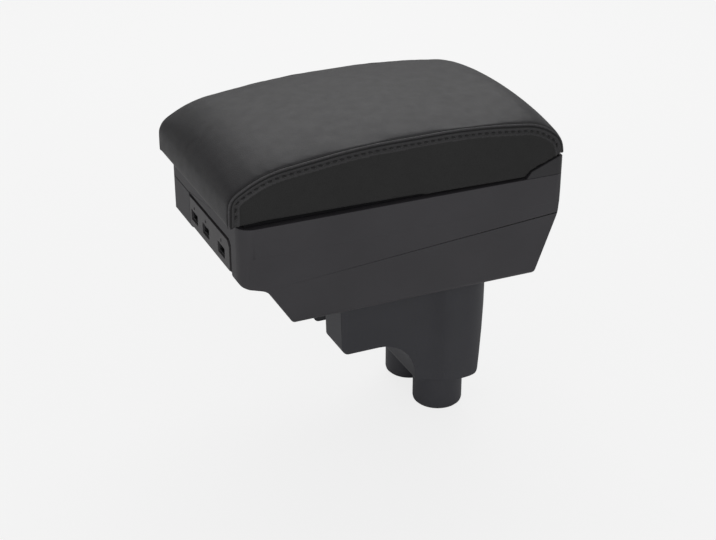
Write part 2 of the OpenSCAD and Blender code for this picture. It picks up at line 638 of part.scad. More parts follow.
// Round-topped tunnel, grown by g
module notch(g, from) translate([0, notch_y, 0]) {
    block([from, -notch_r - g, front_z - over], [notch_end + g, notch_r + g, front_z + notch_h - notch_r]);
    translate([from, 0, front_z + notch_h - notch_r]) rotate([0, 90, 0]) cylinder(r = notch_r + g, h = notch_end + g - from);
}
leg_profile = [
    [0, 0], [leg_r - leg_edge, 0], [leg_r - leg_edge * 0.5, leg_edge * 0.134], [leg_r - leg_edge * 0.134, leg_edge * 0.5],
    [leg_r, leg_edge], [leg_r, column_z + 12], [0, column_z + 12]
];
module base_body() color(base_col) base_place() difference() {
    union() {
        difference() {
            union() {
                base_shape(0);
                for (p = leg_at) translate([p.x, p.y, 0]) rotate_extrude() polygon(leg_profile);
            }
            // Hollow inside, round the notch
            difference() {
                base_shape(wall);
                notch(wall, -over);
            }
            for (p = leg_at) translate([p.x, p.y, leg_wall]) cylinder(r = leg_r - leg_wall, h = column_z + 12);
        }
        // Screw bosses, tied to the wall
        intersection() {
            base_shape(0);
            for (p = screw_at) {
                translate([p.x, p.y, plate_low - boss_deep]) cylinder(r = boss_r, h = boss_deep);
                outwards = p.y > 0 ? 1 : -1;
                block([p.x - 1.5, min(p.y, p.y + outwards * 14), plate_low - boss_deep], [p.x + 1.5, max(p.y, p.y + outwards * 14), plate_low]);
            }
        }
    }
    notch(0, -over);
    for (p = screw_at) translate([p.x, p.y, plate_low - boss_deep + 3]) cylinder(r = screw_r + screw_gap, h = boss_deep);
    // Passages for the rail heads through the rear wall
    for (side = [-1, 1]) translate([0, side * rail_pitch / 2, 0])
        block([base_len - 20, -rail_head_w / 2 - 1.5, plate_low - rail_head_t - 2 * run_gap - 1], [base_len + over, rail_head_w / 2 + 1.5, plate_low + over]);
}

window_x = 79;
sink = 3.4;
mouth_len = 8;
module base_plate() color(base_col) base_place() difference() {
    translate([0, 0, plate_low]) linear_extrude(plate_t) polygon(outline(base_plan));
    // Rail slots, wider where they open at the rear
    for (side = [-1, 1]) translate([0, side * rail_pitch / 2, 0]) {
        block([slot_start, -slot_w / 2, plate_low - over], [base_len + over, slot_w / 2, base_h + over]);
        block([base_len - mouth_len, -rail_head_w / 2 - 1, plate_low - over], [base_len + over, rail_head_w / 2 + 1, base_h + over]);
    }
    block([window_x, -window_w / 2, plate_low - over], [window_x + window_len, window_w / 2, base_h + over]);
    for (p = screw_at) translate([p.x, p.y, plate_low - over]) {
        cylinder(r = screw_r + 0.2, h = plate_t + 2 * over);
        translate([0, 0, plate_t + over - 2]) cylinder(r1 = screw_r + 0.2, r2 = sink, h = 2);
        translate([0, 0, plate_t + over]) cylinder(r = sink, h = over);
    }
}
module base_screws() color(steel_col) base_place() for (p = screw_at) translate([p.x, p.y, 0]) {
    translate([0, 0, plate_low - boss_deep + 5]) cylinder(r = screw_r, h = boss_deep - 5 + plate_t - 2);
    translate([0, 0, base_h - 2.2]) cylinder(r1 = screw_r, r2 = sink - 0.6, h = 1.8);
}

// Latch: a sprung block in the plate's window, held in a cage under the plate
cage_half = rail_pitch / 2 - rail_head_w / 2 - run_gap - 0.2;
cage_wall = 1.2;
cage_deep = 18;
cage_floor = plate_low - cage_deep;
flange_t = 2;
button_gap = 0.3;
button_rear = window_x + window_len - button_gap;
button_top = base_h - 0.6;
button_half = window_w / 2 - button_gap;
module latch_cage() color(base_col) base_place() difference() {
    block([window_x - 4, -cage_half, cage_floor - 2], [window_x + window_len + 4, cage_half, plate_low]);
    block([window_x - 4 + cage_wall, -cage_half + cage_wall, cage_floor], [window_x + window_len + 4 - cage_wall, cage_half - cage_wall, plate_low + over]);
}
button_mid = button_rear - button_len / 2;
module latch_button() color([0.3, 0.3, 0.33]) base_place() difference() {
    union() {
        along_y(button_half) polygon([[button_rear - button_len, plate_low - button_gap - flange_t], [button_rear, plate_low - button_gap - flange_t],
            [button_rear, button_top - 1.5], [button_rear - 3, button_top], [button_rear - button_len, button_top]]);
        block([button_rear - button_len, -cage_half + cage_wall + button_gap, plate_low - button_gap - flange_t],
            [button_rear + 2, cage_half - cage_wall - button_gap, plate_low - button_gap]);
    }
    // Seat for the spring
    translate([button_mid, 0, plate_low - button_gap - flange_t - over]) cylinder(r = 5, h = over + 2);
}
spring_r = 3.8;
spring_wire = 0.45;
spring_turns = 6;
spring_low = cage_floor + spring_wire + 0.05;
spring_high = plate_low - button_gap - flange_t + 2 - spring_wire - 0.05;
module latch_spring() color(steel_col) base_place() translate([button_mid, 0, 0]) {
    sides = 6;
    per_turn = 14;
    n = spring_turns * per_turn;
    pts = [for (i = [0 : n], k = [0 : sides - 1])
        let (a = 360 * i / per_turn, b = 360 * k / sides, r = spring_r + spring_wire * cos(b))
        [r * cos(a), r * sin(a), spring_low + (spring_high - spring_low) * i / n + spring_wire * sin(b)]];
    polyhedron(points = pts, faces = concat(
        [for (i = [0 : n - 1], k = [0 : sides - 1]) let (a = i * sides + k, b = i * sides + (k + 1) % sides)
            each [[a, b + sides, b], [a, a + sides, b + sides]]],
        [[for (k = [0 : sides - 1]) k]],
        [[for (k = [sides - 1 : -1 : 0]) n * sides + k]]
    ), convexity = 6);
}

base_body();
base_plate();
base_screws();
latch_cage();
latch_button();
latch_spring();
box_body();
rail_left();
rail_right();
rail_screws();
hinge_frame();
hinge_screws();
hinge_pin_left();
hinge_pin_right();
usb_panel();
usb_shell_1();
usb_shell_2();
usb_shell_3();
usb_tongue_1();
usb_tongue_2();
usb_tongue_3();
usb_lamp_1();
usb_lamp_2();
usb_lamp_3();
usb_board();
usb_cover();
usb_cover_screws();
lid_base();
lid_board();
lid_screws();
lid_foam();
lid_top_cover();
lid_side_left();
lid_side_right();
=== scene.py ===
import math

import bpy
import bmesh
import numpy as np
from mathutils import Matrix, Vector
from mathutils.bvhtree import BVHTree
from mathutils.kdtree import KDTree


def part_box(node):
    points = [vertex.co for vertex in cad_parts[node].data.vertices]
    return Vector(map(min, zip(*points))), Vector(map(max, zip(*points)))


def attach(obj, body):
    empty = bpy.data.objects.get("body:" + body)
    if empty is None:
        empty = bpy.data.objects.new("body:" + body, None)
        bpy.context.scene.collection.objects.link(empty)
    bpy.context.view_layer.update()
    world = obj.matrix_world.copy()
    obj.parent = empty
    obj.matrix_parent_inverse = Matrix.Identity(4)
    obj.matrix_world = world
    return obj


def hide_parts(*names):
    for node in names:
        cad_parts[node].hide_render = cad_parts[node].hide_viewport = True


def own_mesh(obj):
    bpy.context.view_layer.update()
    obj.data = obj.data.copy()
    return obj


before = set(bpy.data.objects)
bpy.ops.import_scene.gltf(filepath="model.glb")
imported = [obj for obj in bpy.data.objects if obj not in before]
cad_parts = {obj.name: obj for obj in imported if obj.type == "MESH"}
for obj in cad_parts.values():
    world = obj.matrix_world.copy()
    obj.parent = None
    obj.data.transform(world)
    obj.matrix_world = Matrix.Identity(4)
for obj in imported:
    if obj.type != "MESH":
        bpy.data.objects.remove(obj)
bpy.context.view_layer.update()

# Studio: a pale floor under a white surround. A large soft lamp behind and above lays a sheen over
# the padded top, a weak one on the left opens up the port panel, and a broad one in front fills the
# near side. The camera stands where the photograph was taken from.
bpy.ops.object.select_all(action="DESELECT")
scene = bpy.context.scene
scene.view_settings.view_transform = "Standard"

world = bpy.data.worlds.new("white_surround")
scene.world = world
world.use_nodes = True
world_nodes = world.node_tree.nodes
world_links = world.node_tree.links
world_nodes.clear()
path = world_nodes.new("ShaderNodeLightPath")
seen = world_nodes.new("ShaderNodeMath")
seen.operation = "MAXIMUM"
world_links.new(path.outputs["Is Camera Ray"], seen.inputs[0])
world_links.new(path.outputs["Is Transmission Ray"], seen.inputs[1])
surround = world_nodes.new("ShaderNodeBackground")
surround.inputs["Color"].default_value = (1.0, 1.0, 1.0, 1.0)
surround.inputs["Strength"].default_value = 0.32
backdrop = world_nodes.new("ShaderNodeBackground")
backdrop.inputs["Color"].default_value = (1.0, 1.0, 1.0, 1.0)
backdrop.inputs["Strength"].default_value = 1.0
choose = world_nodes.new("ShaderNodeMixShader")
world_links.new(seen.outputs[0], choose.inputs["Fac"])
world_links.new(surround.outputs[0], choose.inputs[1])
world_links.new(backdrop.outputs[0], choose.inputs[2])
world_out = world_nodes.new("ShaderNodeOutputWorld")
world_links.new(choose.outputs[0], world_out.inputs["Surface"])


def soft_lamp(name, place, target, size, watts):
    lamp = bpy.data.lights.new(name, "AREA")
    lamp.shape = "RECTANGLE"
    lamp.size, lamp.size_y = size
    lamp.energy = watts
    stand = bpy.data.objects.new(name, lamp)
    scene.collection.objects.link(stand)
    stand.location = place
    stand.rotation_euler = (Vector(target) - Vector(place)).to_track_quat("-Z", "Y").to_euler()


soft_lamp("top_softbox", (0.55, 1.25, 1.55), (0.0, 0.0, 0.3), (1.8, 1.3), 13.0)
soft_lamp("left_softbox", (-1.7, -0.6, 0.35), (-0.1, 0.0, 0.2), (1.0, 1.0), 2.0)
soft_lamp("front_fill", (-0.4, -2.0, 0.9), (0.0, 0.0, 0.2), (1.4, 1.4), 10.0)

bpy.ops.mesh.primitive_circle_add(vertices=64, radius=9.0, fill_type="NGON", location=(0, 0, 0))
floor = bpy.context.object
floor.name = "studio_floor"
pale = bpy.data.materials.new("pale_floor")
pale.use_nodes = True
pale_nodes, pale_links = pale.node_tree.nodes, pale.node_tree.links
pale_nodes.clear()
floor_path = pale_nodes.new("ShaderNodeLightPath")
floor_white = pale_nodes.new("ShaderNodeBsdfDiffuse")
floor_white.inputs["Color"].default_value = (0.9, 0.9, 0.9, 1.0)
floor_lift = pale_nodes.new("ShaderNodeEmission")
floor_lift.inputs["Strength"].default_value = 1.0
# The camera sees this share of the floor as plain white, so that the shadow on it stays pale
floor_lift_share = 0.8
share = pale_nodes.new("ShaderNodeMath")
share.operation = "MULTIPLY"
share.inputs[1].default_value = floor_lift_share
floor_mix = pale_nodes.new("ShaderNodeMixShader")
floor_out = pale_nodes.new("ShaderNodeOutputMaterial")
pale_links.new(floor_path.outputs["Is Camera Ray"], share.inputs[0])
pale_links.new(share.outputs[0], floor_mix.inputs["Fac"])
pale_links.new(floor_white.outputs[0], floor_mix.inputs[1])
pale_links.new(floor_lift.outputs[0], floor_mix.inputs[2])
pale_links.new(floor_mix.outputs[0], floor_out.inputs["Surface"])
floor.data.materials.append(pale)

camera = bpy.data.objects.new("photo_camera", bpy.data.cameras.new("photo_camera"))
scene.collection.objects.link(camera)
camera.data.sensor_width = 36.0
camera.data.lens = 75.419
camera.data.clip_start = 0.05
camera.data.clip_end = 40.0
camera.location = (-0.51409, -1.1550, 0.77899)
look_down, look_right = 26.813, 23.957
camera.rotation_euler = (math.radians(90.0 - look_down), 0.0, math.radians(-look_right))
scene.camera = camera


# Bin shell: one injection moulding in charcoal ABS, open at the top, with a shallow front step and
# a deep well behind it. Its outer faces carry a fine spark-eroded grain, and every outer edge is
# broken by a small mould radius.
def toned(nodes, links, pattern, dark, light, low=0.0, high=1.0):
    """Output of a colour ramp between two tones, driven by a pattern's output."""
    tone = nodes.new("ShaderNodeValToRGB")
    for end, place, colour in zip(tone.color_ramp.elements, (low, high), (dark, light)):
        end.position = place
        end.color = (*colour, 1.0)
    links.new(pattern, tone.inputs["Fac"])
    return tone.outputs["Color"]


def moulded_plastic(name, colour, roughness=0.52, grain=0.05):
    finish = bpy.data.materials.new(name)
    finish.use_nodes = True
    nodes, links = finish.node_tree.nodes, finish.node_tree.links
    shader = nodes["Principled BSDF"]
    shader.inputs["Specular IOR Level"].default_value = 0.42
    place = nodes.new("ShaderNodeTexCoord")
    # Slow drift of the tone, as the material flowed in the mould
    drift = nodes.new("ShaderNodeTexNoise")
    drift.inputs["Scale"].default_value = 14.0
    drift.inputs["Detail"].default_value = 3.0
    links.new(place.outputs["Object"], drift.inputs["Vector"])
    dark, light = [c * 0.9 for c in colour], [c * 1.1 for c in colour]
    tone = toned(nodes, links, drift.outputs["Fac"], dark, light, 0.3, 0.75)
    links.new(tone, shader.inputs["Base Color"])
    # Eroded grain of about half a millimetre
    pits = nodes.new("ShaderNodeTexVoronoi")
    pits.feature = "SMOOTH_F1"
    pits.inputs["Scale"].default_value = 1700.0
    links.new(place.outputs["Object"], pits.inputs["Vector"])
    haze = nodes.new("ShaderNodeTexNoise")
    haze.inputs["Scale"].default_value = 900.0
    haze.inputs["Detail"].default_value = 4.0
    links.new(place.outputs["Object"], haze.inputs["Vector"])
    both = nodes.new("ShaderNodeMath")
    both.operation = "ADD"
    links.new(pits.outputs["Distance"], both.inputs[0])
    links.new(haze.outputs["Fac"], both.inputs[1])
    relief = nodes.new("ShaderNodeBump")
    relief.inputs["Strength"].default_value = 0.35
    relief.inputs["Distance"].default_value = grain / 1000.0
    links.new(both.outputs[0], relief.inputs["Height"])
    links.new(relief.outputs["Normal"], shader.inputs["Normal"])
    # Rubbed and matt areas
    rub = nodes.new("ShaderNodeMapRange")
    rub.inputs["To Min"].default_value = roughness - 0.05
    rub.inputs["To Max"].default_value = roughness + 0.07
    links.new(drift.outputs["Fac"], rub.inputs["Value"])
    links.new(rub.outputs["Result"], shader.inputs["Roughness"])
    return finish


weld_reach = 0.000004
flat_within, smooth_within = math.radians(0.4), math.radians(28)


def only(*objects):
    bpy.ops.object.select_all(action="DESELECT")
    for thing in objects:
        thing.select_set(True)
    bpy.context.view_layer.objects.active = objects[0]


def solid_from(name, *nodes):
    """A welded copy of the frame's solids, as one new mesh."""
    parts = []
    for node in nodes:
        part = bpy.data.objects.new(name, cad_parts[node].data.copy())
        scene.collection.objects.link(part)
        parts.append(part)
    only(*parts)
    if len(parts) > 1:
        bpy.ops.object.join()
    piece = bpy.context.object
    piece.name = name
    piece.data.materials.clear()
    bpy.ops.object.mode_set(mode="EDIT")
    bpy.ops.mesh.select_all(action="SELECT")
    bpy.ops.mesh.remove_doubles(threshold=weld_reach)
    bpy.ops.object.mode_set(mode="OBJECT")
    return piece


def moulded_piece(name, node, body, finish, radius, sharp_from=32):
    """A node's solid, with a mould radius in mm on edges sharper than sharp_from degrees."""
    piece = solid_from(name, node)
    bpy.ops.object.mode_set(mode="EDIT")
    bpy.ops.mesh.select_all(action="SELECT")
    bpy.ops.mesh.dissolve_limited(angle_limit=flat_within)
    bpy.ops.object.mode_set(mode="OBJECT")
    edge = piece.modifiers.new("mould_radius", "BEVEL")
    edge.width = radius / 1000.0
    edge.segments = 2
    edge.limit_method = "ANGLE"
    edge.angle_limit = math.radians(sharp_from)
    edge.use_clamp_overlap = False
    edge.miter_outer = "MITER_ARC"
    bpy.ops.object.modifier_apply(modifier=edge.name)
    only(piece)
    bpy.ops.object.shade_smooth_by_angle(angle=smooth_within)
    flats = piece.modifiers.new("flat_faces_stay_flat", "WEIGHTED_NORMAL")
    flats.keep_sharp = True
    bpy.ops.object.modifier_apply(modifier=flats.name)
    piece.data.materials.append(finish)
    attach(piece, body)
    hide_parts(node)


bin_grain = moulded_plastic("bin_charcoal", (0.047, 0.045, 0.050))
moulded_piece("bin_shell", "box_body", "box", bin_grain, 0.5, 50)


# Hinge bracket: a hollow wedge moulded apart from the bin and screwed down through the rim from
# below. Two knuckle slots are cut into its rear edge.
# Its charcoal is darker than the bin's, as painted shade over the hinge area.
bracket_grain_painted_shade = moulded_plastic("bracket_charcoal_painted_shade", (0.032, 0.031, 0.034), 0.56)
moulded_piece("hinge_wedge", "hinge_frame", "box", bracket_grain_painted_shade, 0.8)


# Under-tray of the lid: a bent moulding that rests on the rim and carries the pad. It stands back
# from the leather, so only a black shadow line shows between the lid and the bin. Its plastic is
# coloured near black, far darker than the bin's, as painted shade in that gap.
tray_painted_shade_black = moulded_plastic("tray_painted_shade_black", (0.008, 0.008, 0.009), 0.7)
tray_painted_shade_black.node_tree.nodes["Principled BSDF"].inputs["Specular IOR Level"].default_value = 0.12
moulded_piece("lid_tray", "lid_base", "lid", tray_painted_shade_black, 0.4)


# Charging panel: a separate bezel clipped into a pocket of the front wall, open at the three ports
# and drilled for a lamp above each.
panel_grain = moulded_plastic("panel_charcoal", (0.066, 0.063, 0.066), 0.45, 0.03)
moulded_piece("port_bezel", "usb_panel", "box", panel_grain, 0.4)


# Base: a deep hollow moulding with an arch, a handbrake notch and two legs for the cup holders,
# closed by a slotted plate. Its charcoal is a little bluer than the bin's.
base_grain = moulded_plastic("base_charcoal", (0.046, 0.046, 0.053))
moulded_piece("base_shell", "base_body", "base", base_grain, 0.5)
moulded_piece("base_cap", "base_plate", "base", base_grain, 0.5)


# Rails and latch: two T rails of the bin's plastic are screwed under it and run in the plate's
# slots. Between the slots a sprung block, held in a moulded cage, stands in the plate's window.
moulded_piece("rail_l", "rail_left", "box", bin_grain, 0.3)
moulded_piece("rail_r", "rail_right", "box", bin_grain, 0.3)
moulded_piece("latch_block", "latch_button", "latch", base_grain, 0.3)


def finish_nodes(finish, *nodes):
    for node in nodes:
        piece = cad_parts[node]
        piece.data.materials.clear()
        piece.data.materials.append(finish)
        for face in piece.data.polygons:
            face.material_index = 0


finish_nodes(base_grain, "latch_cage")
finish_nodes(bin_grain, "usb_cover")


# Padded lid: leather over foam over a board. The top is one panel that runs from the rear edge
# over the crown and down the nose, sewn to a flat side panel at each side. The skin is blown out
# a little by a cloth simulation, and then drawn in along the seam.
def leather(name, colour, roughness, sheen):
    hide = bpy.data.materials.new(name)
    hide.use_nodes = True
    nodes, links = hide.node_tree.nodes, hide.node_tree.links
    shader = nodes["Principled BSDF"]
    shader.inputs["Specular IOR Level"].default_value = 0.42
    shader.inputs["Sheen Weight"].default_value = sheen
    shader.inputs["Sheen Roughness"].default_value = 0.5
    place = nodes.new("ShaderNodeTexCoord")
    # Pebbles of the embossed grain, bent by a noise so that no rows show
    bend = nodes.new("ShaderNodeTexNoise")
    bend.inputs["Scale"].default_value = 320.0
    bend.inputs["Detail"].default_value = 2.0
    links.new(place.outputs["Object"], bend.inputs["Vector"])
    bent = nodes.new("ShaderNodeMixRGB")
    bent.blend_type = "LINEAR_LIGHT"
    bent.inputs["Fac"].default_value = 0.0012
    links.new(place.outputs["Object"], bent.inputs["Color1"])
    links.new(bend.outputs["Color"], bent.inputs["Color2"])
    pebble = nodes.new("ShaderNodeTexVoronoi")
    pebble.feature = "DISTANCE_TO_EDGE"
    pebble.inputs["Scale"].default_value = 620.0
    links.new(bent.outputs["Color"], pebble.inputs["Vector"])
    crack = nodes.new("ShaderNodeMapRange")
    crack.inputs["From Max"].default_value = 0.16
    links.new(pebble.outputs["Distance"], crack.inputs["Value"])
    wrinkle = nodes.new("ShaderNodeTexNoise")
    wrinkle.inputs["Scale"].default_value = 95.0
    wrinkle.inputs["Detail"].default_value = 5.0
    links.new(place.outputs["Object"], wrinkle.inputs["Vector"])
    height = nodes.new("ShaderNodeMath")
    height.operation = "MULTIPLY_ADD"
    height.inputs[1].default_value = 0.6
    links.new(crack.outputs["Result"], height.inputs[0])
    links.new(wrinkle.outputs["Fac"], height.inputs[2])
    relief = nodes.new("ShaderNodeBump")
    relief.inputs["Strength"].default_value = 0.5
    relief.inputs["Distance"].default_value = 0.00012
    links.new(height.outputs[0], relief.inputs["Height"])
    links.new(relief.outputs["Normal"], shader.inputs["Normal"])
    # Darker in the cracks, and a slow cloudiness over the hide
    cloud = nodes.new("ShaderNodeTexNoise")
    cloud.inputs["Scale"].default_value = 11.0
    cloud.inputs["Detail"].default_value = 3.0
    links.new(place.outputs["Object"], cloud.inputs["Vector"])
    dark, light = [c * 0.88 for c in colour], [c * 1.12 for c in colour]
    tone = toned(nodes, links, cloud.outputs["Fac"], dark, light, 0.3, 0.75)
    deep = nodes.new("ShaderNodeMixRGB")
    deep.blend_type = "MULTIPLY"
    deep.inputs["Fac"].default_value = 0.35
    links.new(tone, deep.inputs["Color1"])
    links.new(crack.outputs["Result"], deep.inputs["Color2"])
    links.new(deep.outputs["Color"], shader.inputs["Base Color"])
    gloss = nodes.new("ShaderNodeMapRange")
    gloss.inputs["To Min"].default_value = roughness - 0.06
    gloss.inputs["To Max"].default_value = roughness + 0.08
    links.new(wrinkle.outputs["Fac"], gloss.inputs["Value"])
    links.new(gloss.outputs["Result"], shader.inputs["Roughness"])
    return hide


# The side leather is a darker copy of the top's and the band leather a lighter copy: painted shade on
# the side panels and a painted highlight on the band below the seam.
top_hide = leather("leather_top", (0.019, 0.018, 0.021), 0.50, 0.03)
side_hide_painted_shade = leather("leather_side", (0.014, 0.014, 0.014), 0.62, 0.02)
turned_band_painted_highlight = leather("leather_band_painted_highlight", (0.036, 0.035, 0.037), 0.55, 0.02)

# Side seam, from the rear edge over the lid to the foot of the nose: x, z and bend radius in
# millimetres, with x from the bin's front face and z from its rim
rim_height = 249.3
half_length = 150.0
lid_half = 95.5
seam_corners = [
    (310.0, 21.0, 4.0), (304.5, 38.0, 22.0), (283.0, 54.0, 60.0), (213.9, 64.0, 450.0),
    (111.6, 63.5, 450.0), (22.0, 51.0, 100.0), (-9.0, 33.0, 14.0), (-10.0, 3.5, 5.0),
]


def seam_line(step=1.5):
    """The corners joined by arcs, as points about one step apart."""
    points = []
    count = len(seam_corners)
    for i, (x, z, radius) in enumerate(seam_corners):
        here = Vector((x, z))
        before = Vector(seam_corners[i - 1][:2])
        after = Vector(seam_corners[(i + 1) % count][:2])
        if i in (0, count - 1):
            points.append(here)
            continue
        u, v = (before - here).normalized(), (after - here).normalized()
        half = u.angle(v) / 2.0
        centre = here + (u + v).normalized() * radius / math.sin(half)
        start = here + u * radius / math.tan(half) - centre
        side = 1.0 if (here - before).cross(after - here) > 0 else -1.0
        sweep = side * (math.pi - 2.0 * half)
        turns = max(2, int(abs(sweep) * radius / step))
        for k in range(turns + 1):
            a = sweep * k / turns
            points.append(centre + Vector((
                start.x * math.cos(a) - start.y * math.sin(a),
                start.x * math.sin(a) + start.y * math.cos(a))))
    even = [points[0]]
    for a, b in zip(points, points[1:]):
        pieces = max(1, round((b - a).length / step))
        even += [a.lerp(b, k / pieces) for k in range(1, pieces + 1)]
    return even


def eased(value, low, high):
    t = min(max((value - low) / (high - low), 0.0), 1.0)
    return t * t * (3.0 - 2.0 * t)


# How the stuffed cover settles, in the seam's millimetres: the crown sinks over the front and the
# middle, by a smooth curve near these depths, and the rear end fills out in its middle. The front
# foot hangs in front of the tray nearly to the rim, and the rear edge, the heel, wraps down over
# the rounded corner of the bracket.
crown_at = (-10, 25, 80, 125, 160, 195, 225, 250, 286, 310)
crown_down = (2.7, 3.2, 4.0, 4.8, 5.0, 4.6, 3.9, 3.3, 2.3, 1.5)
crown_sink = np.polyfit(crown_at, crown_down, 4)
rear_fill, foot_drop, heel_drop = 2.6, 1.3, 2.6


def settled(x, y, z):
    y = abs(y)
    rear = eased(x, 235.0, 285.0)
    spread = 1.0 - rear + rear * min(y / 92.0, 1.0) ** 2
    sink = np.polyval(crown_sink, x) * eased(z, 6.0, 32.0) * spread
    middle = max(1.0 - (y / 96.0) ** 2, 0.0)
    fill = rear_fill * middle * eased(x, 250.0, 287.0) * eased(z, 20.0, 40.0)
    front = 1.0 - eased(x, 3.5, 6.0)
    front_corner = eased(y, 91.0, 93.5) * (1.0 - eased(x, 9.0, 22.0))
    foot = foot_drop * max(front, front_corner) * (1.0 - eased(z, 4.0, 16.0))
    heel = heel_drop * eased(x, 304.0, 309.5) * (1.0 - eased(z, 22.0, 32.0))
    return x + fill, y, z - sink + fill - foot - heel


def tree_of(points):
    tree = KDTree(len(points))
    for i, p in enumerate(points):
        tree.insert(p, i)
    tree.balance()
    return tree


def seam_up(line, i, outward):
    """Direction in the side panel's plane that leads square across the seam, out of the panel."""
    along = (line[min(i + 1, len(line) - 1)] - line[max(i - 1, 0)]).normalized()
    return along.cross(outward) * -outward.y


seam_rest = {-1: [], 1: []}
for p in seam_line():
    x, y, z = settled(p.x, lid_half, p.y)
    for side in (-1, 1):
        seam_rest[side].append(
            Vector(((x - half_length) / 1000, side * y / 1000, (z + rim_height) / 1000)))
seam_tree = {side: tree_of(seam_rest[side]) for side in (-1, 1)}
both_seams = tree_of(seam_rest[-1] + seam_rest[1])

pad = solid_from(
    "lid_pad", "lid_foam", "lid_board", "lid_top_cover", "lid_side_left", "lid_side_right")
pad.data.remesh_voxel_size = 0.0034
pad.data.remesh_voxel_adaptivity = 0.0
bpy.ops.object.voxel_remesh()

for v in pad.data.vertices:
    x, y, z = settled(v.co.x * 1000 + half_length, v.co.y * 1000, v.co.z * 1000 - rim_height)
    v.co.x, v.co.z = (x - half_length) / 1000, (z + rim_height) / 1000
rest = np.empty(len(pad.data.vertices) * 3)
pad.data.vertices.foreach_get("co", rest)
rest = rest.reshape(-1, 3)
rest_normals = np.array([v.normal for v in pad.data.vertices])
# The cover is glued to the tray underneath, held along the seam, and swells this far elsewhere
glued_up_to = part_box("lid_foam")[0][2] + 0.0006 + 0.003
faces_down, faces_side = -0.55, 0.7
held = (rest_normals[:, 2] < faces_down) | (rest[:, 2] < glued_up_to)
seam_hold, seam_hold_weight = 0.007, 0.9
side_swell, top_swell = 0.0016, 0.0022
last_frame = 20
group = pad.vertex_groups.new(name="glued_under")
group.add([int(i) for i in np.nonzero(held)[0]], 1.0, "REPLACE")
for side in (-1, 1):
    for i, co in enumerate(rest):
        gap = seam_tree[side].find(Vector(co))[2]
        if gap < seam_hold:
            group.add([i], max(0.0, 1.0 - gap / seam_hold) * seam_hold_weight, "ADD")
skin = pad.modifiers.new("stuffing", "CLOTH")
skin.settings.vertex_group_mass = group.name
skin.settings.use_pressure = True
skin.settings.uniform_pressure_force = 4.0
skin.settings.quality = 6
skin.settings.tension_stiffness = 12.0
skin.settings.compression_stiffness = 12.0
skin.settings.shear_stiffness = 6.0
skin.settings.bending_stiffness = 2.0
skin.settings.effector_weights.gravity = 0.0
skin.collision_settings.use_collision = False
skin.collision_settings.use_self_collision = False
skin.point_cache.frame_start = 1
skin.point_cache.frame_end = last_frame
for at in range(1, last_frame + 1):
    scene.frame_set(at)
swollen = pad.evaluated_get(bpy.context.evaluated_depsgraph_get())
blown = np.empty(len(swollen.data.vertices) * 3)
swollen.data.vertices.foreach_get("co", blown)
moved = blown.reshape(-1, 3) - rest
reach = np.linalg.norm(moved, axis=1)
cap = np.where(np.abs(rest_normals[:, 1]) > faces_side, side_swell, top_swell)
cap[held] = 0.0
factor = np.where(reach > 1e-9, np.minimum(cap, reach) / np.maximum(reach, 1e-9), 0.0)
final = rest + moved * factor[:, None]
pad.modifiers.remove(skin)
pad.vertex_groups.clear()
pad.data.vertices.foreach_set("co", final.ravel())
scene.frame_set(1)
# The edge that the seam runs along, rounded evenly to edge_round
edge_round = 0.003
round_reach = 2.2 * edge_round
for side in (-1, 1):
    outward = Vector((0, side, 0))
    for v in pad.data.vertices:
        near, i, gap = seam_tree[side].find(v.co)
        if gap > round_reach:
            continue
        up = seam_up(seam_rest[side], i, outward)
        out_by = (v.co - near).dot(outward) + edge_round
        up_by = (v.co - near).dot(up) + edge_round
        if out_by > 0 and up_by > 0:
            shrink = edge_round / math.hypot(out_by, up_by) - 1.0
            v.co += (outward * out_by + up * up_by) * shrink
only(pad)
even = pad.modifiers.new("smooth_skin", "SMOOTH")
even.factor = 0.5
even.iterations = 3
bpy.ops.object.modifier_apply(modifier=even.name)
finer = pad.modifiers.new("finer_skin", "SUBSURF")
finer.levels = 1
finer.render_levels = 1
bpy.ops.object.modifier_apply(modifier=finer.name)

# Seam relief: the leather is drawn in along the crease above the seam, stands proud over the turned
# edge below it, dips under the stitches and rises again at the turning's raw edge. Each row is a
# height, a distance from the seam and a width in millimetres. The mesh is made finer there first.
side_relief = ((0.75, 4.0, 1.3), (-0.5, 6.9, 1.0), (0.7, 9.4, 1.2))
top_relief = ((-0.5, 1.9, 1.3),)
finer_within, relief_within, highlight_band_within = 0.0130, 0.014, 0.0100
bpy.ops.object.mode_set(mode="EDIT")
bpy.ops.mesh.select_mode(type="FACE")
bpy.ops.mesh.select_all(action="DESELECT")
bpy.ops.object.mode_set(mode="OBJECT")
for face in pad.data.polygons:
    face.select = both_seams.find(face.center)[2] < finer_within
bpy.ops.object.mode_set(mode="EDIT")
bpy.ops.mesh.subdivide(number_cuts=1, smoothness=0.0)
bpy.ops.object.mode_set(mode="OBJECT")
skin_points = np.array([v.co for v in pad.data.vertices])
skin_normals = np.array([v.normal for v in pad.data.vertices])
lift = np.zeros(len(skin_points))
for side in (-1, 1):
    for i, (co, normal) in enumerate(zip(skin_points, skin_normals)):
        gap = seam_tree[side].find(Vector(co))[2]
        if gap > relief_within:
            continue
        rows = side_relief if side * normal[1] > faces_side else top_relief
        lift[i] = sum(high * math.exp(-((gap * 1000 - at) / wide) ** 2) for high, at, wide in rows)
skin_points += skin_normals * (lift / 1000)[:, None]
pad.data.vertices.foreach_set("co", skin_points.ravel())
pad.data.update()
only(pad)
bpy.ops.object.shade_smooth()
pad.data.materials.append(top_hide)
pad.data.materials.append(side_hide_painted_shade)
pad.data.materials.append(turned_band_painted_highlight)
panel_faces, panel_from = 0.55, (lid_half - 4.0) / 1000
# Side faces take the darker leather, a painted shade, and those in the band beside a seam take the
# lighter one, a painted highlight.
for face in pad.data.polygons:
    side_on = abs(face.normal.y) > panel_faces and abs(face.center.y) > panel_from
    highlight_band = side_on and both_seams.find(face.center)[2] < highlight_band_within
    face.material_index = 2 if highlight_band else 1 if side_on else 0
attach(pad, "lid")
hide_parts("lid_foam", "lid_top_cover", "lid_side_left", "lid_side_right")
